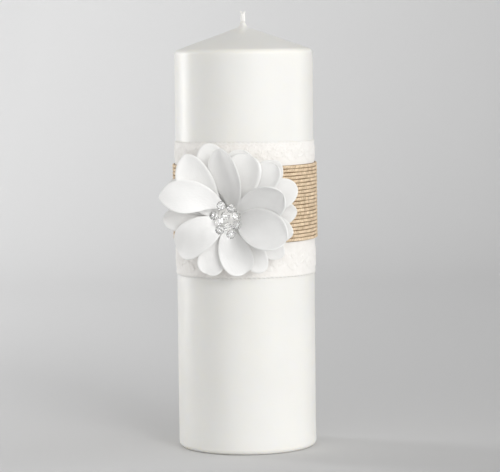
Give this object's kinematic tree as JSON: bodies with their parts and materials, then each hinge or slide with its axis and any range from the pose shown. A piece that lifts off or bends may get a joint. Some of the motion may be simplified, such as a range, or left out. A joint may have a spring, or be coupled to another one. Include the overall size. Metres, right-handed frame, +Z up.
{
  "type": "unity candle",
  "caption": "Ivory pillar candle with coned top and wick, lace band, corded jute ribbon, and a white satin flower with a clear bead centre.",
  "frame": {"origin": "centre of the flat base, on the candle's axis, at the surface it stands on", "axes": "+Z up along the candle's axis to the wick, -Y towards the viewer out of the flower's face, +X to the viewer's right"},
  "size_m": [0.0794, 0.1094, 0.2397],
  "materials": {
    "wax": "solid paraffin wax, warm ivory; matte_plastic stands in for wax",
    "wax_coat": "smooth hard overdip wax, ivory, softly glossy and slightly translucent; gloss_plastic stands in for wax",
    "wick_cotton": "braided cotton wick dipped in clear wax",
    "tin": "stamped tin plate",
    "lace": "ivory cotton lace with raised floral pattern",
    "tape": "white double-sided mounting tape",
    "ribbon": "woven jute backing of the ribbon",
    "cord": "twisted natural jute cord with loose fibres",
    "glue": "milky hot-melt glue",
    "felt": "white wool-blend felt",
    "glass_bead": "clear faceted glass",
    "satin": "white satin, heat-formed into a cupped petal"
  },
  "bodies": {
    "root": {"wax_core": "wax", "overdip_coat": "wax_coat", "wick": "wick_cotton", "wick_sustainer": "tin", "lace_band": "lace", "lace_tape": "tape", "ribbon_backing": "ribbon", "ribbon_cords": "cord", "ribbon_lap": "cord", "ribbon_lap_glue": "glue", "flower_glue": "glue", "felt_disc": "felt", "flower_hub": "felt", "bead_pad": "glue", "bead_1": "glass_bead", "bead_2": "glass_bead", "bead_3": "glass_bead", "bead_4": "glass_bead", "bead_5": "glass_bead", "bead_6": "glass_bead", "bead_7": "glass_bead", "bead_8": "glass_bead", "bead_9": "glass_bead", "bead_10": "glass_bead", "outer_petal_1": "satin", "outer_petal_2": "satin", "outer_petal_3": "satin", "outer_petal_4": "satin", "outer_petal_5": "satin", "outer_petal_6": "satin", "outer_petal_7": "satin", "outer_petal_8": "satin", "outer_petal_9": "satin", "middle_petal_1": "satin", "middle_petal_2": "satin", "middle_petal_3": "satin", "middle_petal_4": "satin", "middle_petal_5": "satin", "inner_petal_1": "satin", "inner_petal_2": "satin", "inner_petal_3": "satin", "inner_petal_4": "satin", "inner_petal_5": "satin", "inner_petal_6": "satin"}
  },
  "joints": []
}
